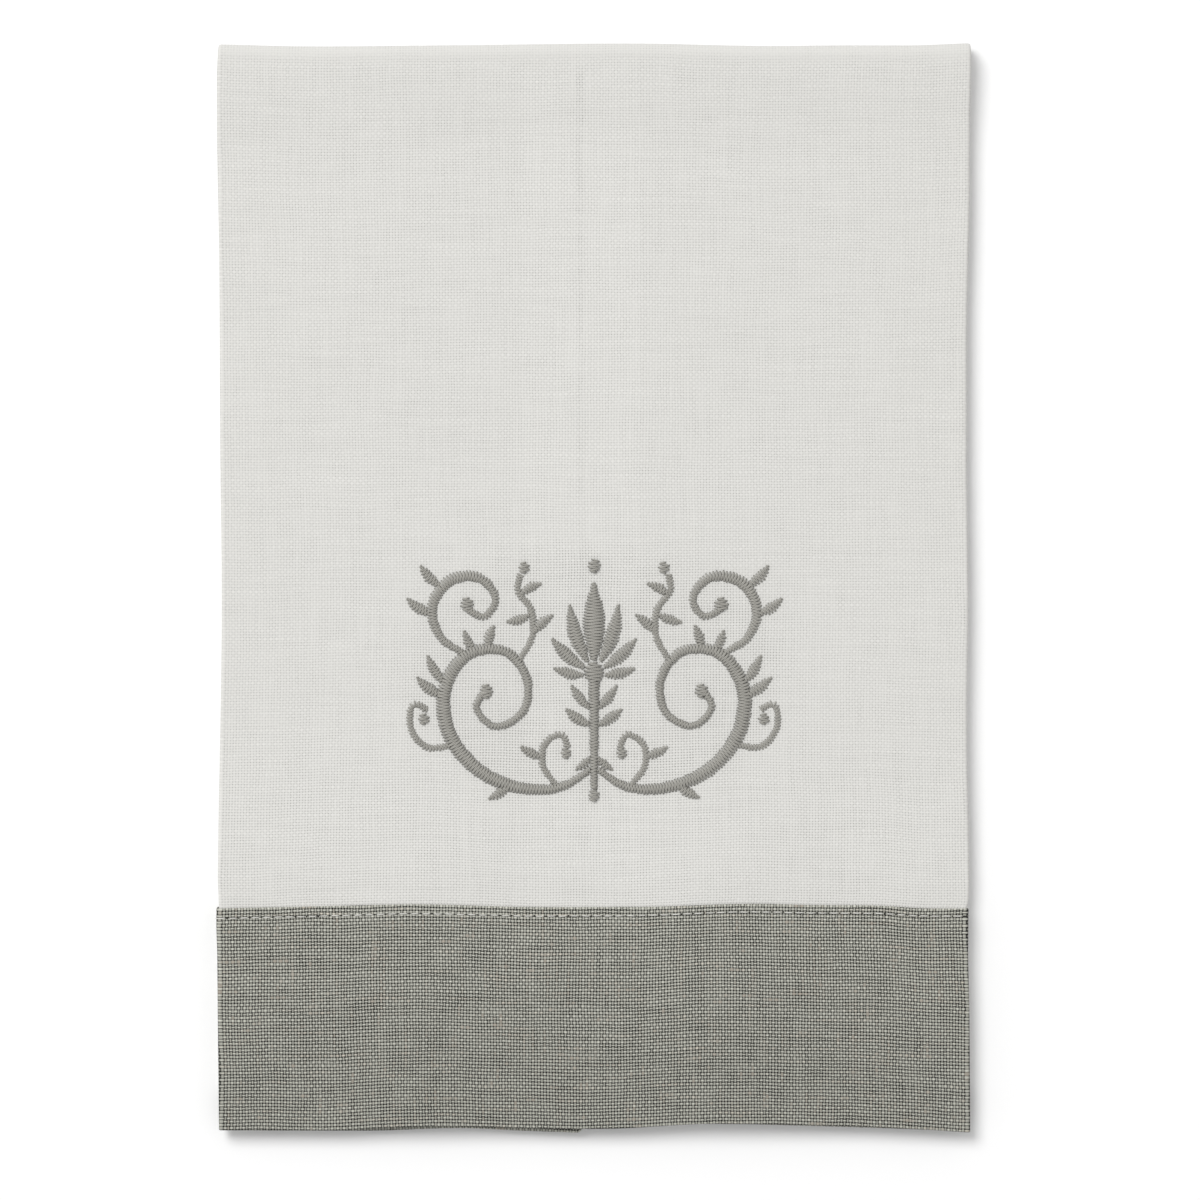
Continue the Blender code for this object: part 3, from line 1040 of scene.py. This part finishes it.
# Leaves and buds: from the foot to the tip, in millimetres, and the greatest width
Leaf = namedtuple("Leaf", "foot_x foot_y tip_x tip_y width")
LEAVES = (
    Leaf(20.0, -26.4, 25.0, -29.6, 2.3),
    Leaf(35.8, -5.6, 42.2, -1.0, 2.6),
    Leaf(35.6, -2.4, 39.6, 4.2, 2.4),
    Leaf(39.0, 14.0, 44.6, 17.8, 2.5),
    Leaf(36.6, 20.6, 41.4, 25.6, 2.5),
    Leaf(25.4, 5.8, 23.8, 11.4, 2.4),
    Leaf(28.6, 5.2, 30.8, 10.2, 2.2),
    Leaf(14.4, 9.8, 9.8, 14.0, 2.4),
    Leaf(15.4, 14.0, 20.8, 12.2, 2.2),
    Leaf(17.6, 18.8, 12.6, 21.4, 2.2),
    Leaf(12.2, -19.6, 17.4, -17.2, 2.3),
    Leaf(0.8, -19.6, 4.4, -22.6, 1.9),
    Leaf(1.0, -12.0, 6.6, -8.2, 2.6),
    Leaf(1.0, -8.0, 5.4, -2.6, 2.2),
)
MIDDLE_LEAF = Leaf(0.0, 3.4, 0.0, 21.6, 5.2)
SIDE_PETALS = (
    Leaf(1.6, 3.0, 5.8, 16.4, 3.4),
    Leaf(2.4, 1.6, 10.0, 8.4, 3.0),
    Leaf(2.6, -0.2, 9.6, 1.4, 2.6),
)
Bud = namedtuple("Bud", "x y width")
BUDS = (
    Bud(25.6, -4.2, 3.2),
    Bud(30.2, 16.4, 3.2),
    Bud(40.4, -11.0, 2.5),
    Bud(16.6, 25.2, 2.6),
    Bud(6.6, -18.6, 2.5),
)
MIDDLE_BUDS = (
    Bud(0.0, 0.4, 4.8),
    Bud(0.0, 25.6, 3.0),
    Bud(0.0, -28.6, 2.6),
)


def smooth_line(places, pitch):
    """Points along a curve through the places, a stitch pitch apart, each with its width."""
    knots = np.array(places)
    chords = np.hypot(*np.diff(knots[:, :2], axis=0).T)
    known = np.concatenate([[0], np.cumsum(chords)])
    slopes = np.gradient(knots, known, axis=0)
    fine = np.linspace(0, known[-1], FINE_POINTS_PER_PLACE * len(knots))
    at = np.clip(np.searchsorted(known, fine, side="right") - 1, 0, len(knots) - 2)
    step = (known[at + 1] - known[at])[:, None]
    curve = on_curve(knots, slopes, at, step, (fine - known[at])[:, None] / step)
    length = np.concatenate([[0], np.cumsum(np.hypot(*np.diff(curve[:, :2], axis=0).T))])
    even = np.linspace(0, length[-1], max(3, round(length[-1] / pitch)))
    return np.stack([np.interp(even, length, column) for column in curve.T], axis=-1)


def satin_column(places, layer, chance):
    """A zigzag of stitches along a line of places: each begins where the last one ended."""
    line = smooth_line(places, STITCH_PITCH)
    heading = np.gradient(line[:, :2], axis=0)
    heading /= np.hypot(*heading.T)[:, None]
    stitches = []
    last_end = None
    for number, (x, y, width) in enumerate(line):
        side = 1 if number % 2 else -1
        reach = side * (width / 2 + 0.12 + chance.uniform(-0.12, 0.14))
        end = (x - heading[number][1] * reach, y + heading[number][0] * reach)
        if last_end:
            crown = 0.05 + 0.085 * width + 0.16 * layer + chance.uniform(0, 0.06)
            stitches.append((last_end, end, crown))
        last_end = end
    return stitches


def leaf_places(leaf, mirror):
    """A leaf as a line of places: narrow at its foot, full in the middle, pointed at its tip."""
    shares = ((0.0, 0.25), (0.18, 0.68), (0.42, 1.0), (0.68, 0.85), (0.88, 0.42), (1.0, 0.12))
    foot, tip = Vector((leaf.foot_x, leaf.foot_y)), Vector((leaf.tip_x, leaf.tip_y))
    bow = (tip - foot).orthogonal() * (-0.06 if leaf.foot_x else 0.0)
    places = []
    for along, fullness in shares:
        place = foot.lerp(tip, along) + bow * math.sin(along * math.pi)
        places.append(Place(mirror * place.x, place.y, leaf.width * fullness))
    return places


def bud_places(bud, mirror):
    """A round bud as a short line of places down its middle."""
    half = bud.width / 2
    places = []
    for share in (-1.0, -0.75, -0.3, 0.3, 0.75, 1.0):
        width = bud.width * math.sqrt(max(0.12, 1 - share * share))
        places.append(Place(mirror * bud.x, bud.y + half * share, width))
    return places


def ornament_stitches():
    """All the satin stitches of the ornament, as places on the flat cloth."""
    chance = random.Random(11)
    worked = []
    for mirror in (-1, 1):
        tendrils = [(places, 0) for places in (OUTER_TENDRIL, INNER_TENDRIL, LOW_TENDRIL)]
        for places, layer in tendrils + [(UPPER_BRANCH, 1), (MAIN_SCROLL, 2)]:
            turned = [Place(mirror * x, y, width) for x, y, width in places]
            worked += satin_column(turned, layer, chance)
        for leaf in LEAVES + SIDE_PETALS:
            worked += satin_column(leaf_places(leaf, mirror), 1, chance)
        for bud in BUDS:
            worked += satin_column(bud_places(bud, mirror), 2, chance)
    worked += satin_column(STEM, 3, chance)
    worked += satin_column(leaf_places(MIDDLE_LEAF, 1), 2, chance)
    for bud in MIDDLE_BUDS:
        worked += satin_column(bud_places(bud, 1), 4, chance)
    stitches = []
    for start, end, crown in worked:
        flat = [(x * MM, ORNAMENT_HEIGHT + y * MM) for x, y in (start, end)]
        stitches.append(Stitch(*flat, CLOTH_FACE - SATIN_SUNK, crown * MM))
    return stitches


TOPSTITCH_PITCH = 2.68 * MM
TOPSTITCH_LENGTH = 1.95 * MM
TOPSTITCH_THREAD = 0.31 * MM
TOPSTITCH_ARCH = 0.10 * MM
END_STITCH_THREAD = 0.28 * MM
END_STITCH_ARCH = 0.04 * MM
STITCH_SUNK = 0.03 * MM
ROW_STARTS_IN = 2 * MM
ROW_ENDS_IN = 3 * MM
HOLE_PAST_STITCH = 0.36 * MM
HOLE_RADIUS = 0.27 * MM
HOLE_DISC_HEIGHT = 0.05 * MM


def running_line(first_u, last_u, middle_v, slant, base, arch, chance):
    """A row of straight stitches across the flat cloth, rising by its slant to the right."""
    stitches = []
    for u in np.arange(first_u, last_u, TOPSTITCH_PITCH):
        v = middle_v + slant * u
        start = (u + chance.uniform(-0.1, 0.1) * MM, v + chance.uniform(-0.07, 0.07) * MM)
        end = (u + TOPSTITCH_LENGTH, v + chance.uniform(-0.07, 0.07) * MM)
        stitches.append(Stitch(start, end, base, arch))
    return stitches


def needle_holes(name, places, radius, material):
    """Thin dark discs of painted shade, one for each needle hole, at (u, v, w) on the flat cloth.
    """
    discs = bmesh.new()
    sides = 7
    chance = random.Random(5)
    for _ in places:
        bmesh.ops.create_cone(
            discs, cap_ends=True, segments=sides, radius1=1.0, radius2=0.6, depth=1.0
        )
    mesh = bpy.data.meshes.new(name)
    discs.to_mesh(mesh)
    discs.free()
    local = np.empty(len(mesh.vertices) * 3)
    mesh.vertices.foreach_get("co", local)
    local = local.reshape(len(places), -1, 3)
    middle = np.array(places)[:, None, :]
    reach = np.array([radius * chance.uniform(0.7, 1.2) for _ in places])[:, None]
    u = (middle[..., 0] + local[..., 0] * reach).ravel()
    v = (middle[..., 1] + local[..., 1] * reach).ravel()
    w = (middle[..., 2] + local[..., 2] * HOLE_DISC_HEIGHT).ravel()
    mesh.vertices.foreach_set("co", fold_cloth(u, v, w + surface_waves(u, v)).ravel())
    mesh.uv_layers.new(name="strand")
    mesh.materials.append(material)
    return link(name, mesh)


def finish_piece(piece, replaced=None):
    """Ties a piece to the part's one body and hides the solid it stands in for, if one is given."""
    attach(piece, "root")
    if replaced:
        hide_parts(replaced)
    return piece


def main():
    """Makes the two cloths and their thread work."""
    linen = linen_sheet(white_linen_finish())
    finish_piece(linen, "linen_cloth")
    band = band_strip(grey_linen_finish())
    finish_piece(band, "contrast_band")
    chance = random.Random(3)
    stitch_v = BAND_HEIGHT - STITCH_LINE_BELOW_EDGE
    face_w = CLOTH_FACE - SEAM_DIP + 2 * (PLY_GAP + BAND_PLY)
    left, right = free_edge(LEFT_WING), free_edge(RIGHT_WING)
    first, last = -left + ROW_STARTS_IN, right - ROW_ENDS_IN
    seam_w = face_w - STITCH_SUNK
    seam_row = running_line(
        first, last, stitch_v, STITCH_LINE_SLANT, seam_w, TOPSTITCH_ARCH, chance
    )
    end_w = CLOTH_FACE - END_STITCH_DIP - STITCH_SUNK
    end_row = running_line(first, last, END_STITCH_V, 0.0, end_w, END_STITCH_ARCH, chance)
    seam_thread = thread_finish("seam thread", SEAM_THREAD, 0.6)
    white_thread = thread_finish("hem thread", WHITE_THREAD, 0.6)
    stitching = sew("band_topstitch", seam_row, TOPSTITCH_THREAD, seam_thread)
    finish_piece(stitching)
    hem_row = sew("end_hem_stitch", end_row, END_STITCH_THREAD, white_thread)
    finish_piece(hem_row)
    ornament = ornament_stitches()
    satin = thread_finish("satin thread", SATIN_THREAD, 0.45)
    embroidery = sew("embroidery", ornament, STITCH_THREAD, satin, flatness=0.85, taper=0.3)
    finish_piece(embroidery)
    holes = [(stitch.end[0] + HOLE_PAST_STITCH, stitch.end[1], face_w) for stitch in seam_row]
    discs = needle_holes("seam_needle_hole_shade", holes, HOLE_RADIUS, needle_hole_shade_finish())
    finish_piece(discs)
    turned = math.pi * HEM_TURN_RADIUS
    cloth_start = BAND_HEIGHT - SEAM_ALLOWANCE
    section = np.array(band_section())
    left + right + 2 * (turned + SIDE_HEM)
    CLOTH_END + turned + END_HEM - cloth_start
    left + right
    print("stitches in the ornament:", len(ornament))


def camera_above():
    """The camera straight above, framed as 1200 by 1200 pixels of 0.2368 mm at the towel."""
    pixel = 0.2368 * MM
    frame_width = 1200 * pixel
    distance = 1.2
    towel_face = 5 * MM
    data = bpy.data.cameras.new("camera above")
    data.sensor_width = 36
    data.lens = data.sensor_width * distance / frame_width
    camera = bpy.data.objects.new("camera above", data)
    camera.location = (1.42 * MM, -2.9 * MM, distance + towel_face)
    bpy.context.scene.collection.objects.link(camera)
    bpy.context.scene.camera = camera


def area_light(name, place, aim, size, power):
    """A round soft light at a place, turned towards what it lights."""
    data = bpy.data.lights.new(name, "AREA")
    data.shape = "DISK"
    data.size = size
    data.energy = power
    light = bpy.data.objects.new(name, data)
    light.location = place
    light.rotation_euler = (Vector(aim) - Vector(place)).to_track_quat("-Z", "Y").to_euler()
    bpy.context.scene.collection.objects.link(light)


def studio():
    """A plain pale floor, a soft light from the upper left and an even fill."""
    bpy.ops.mesh.primitive_plane_add(size=6, location=(0, 0, -0.0002))
    floor = bpy.context.object
    floor.name = "floor"
    paper = Finish("pale floor")
    paper.shader.inputs["Base Color"].default_value = (0.965, 0.965, 0.965, 1.0)
    paper.shader.inputs["Roughness"].default_value = 0.9
    floor.data.materials.append(paper.material)
    area_light("soft key", (-1.72, 1.98, 3.6), (0, 0, 0), 2.4, 128)
    world = bpy.data.worlds.new("even fill")
    world.use_nodes = True
    background = world.node_tree.nodes["Background"]
    background.inputs["Color"].default_value = (1, 1, 1, 1)
    background.inputs["Strength"].default_value = 0.59
    bpy.context.scene.world = world
    bpy.context.scene.view_settings.view_transform = "Standard"


camera_above()
studio()
main()
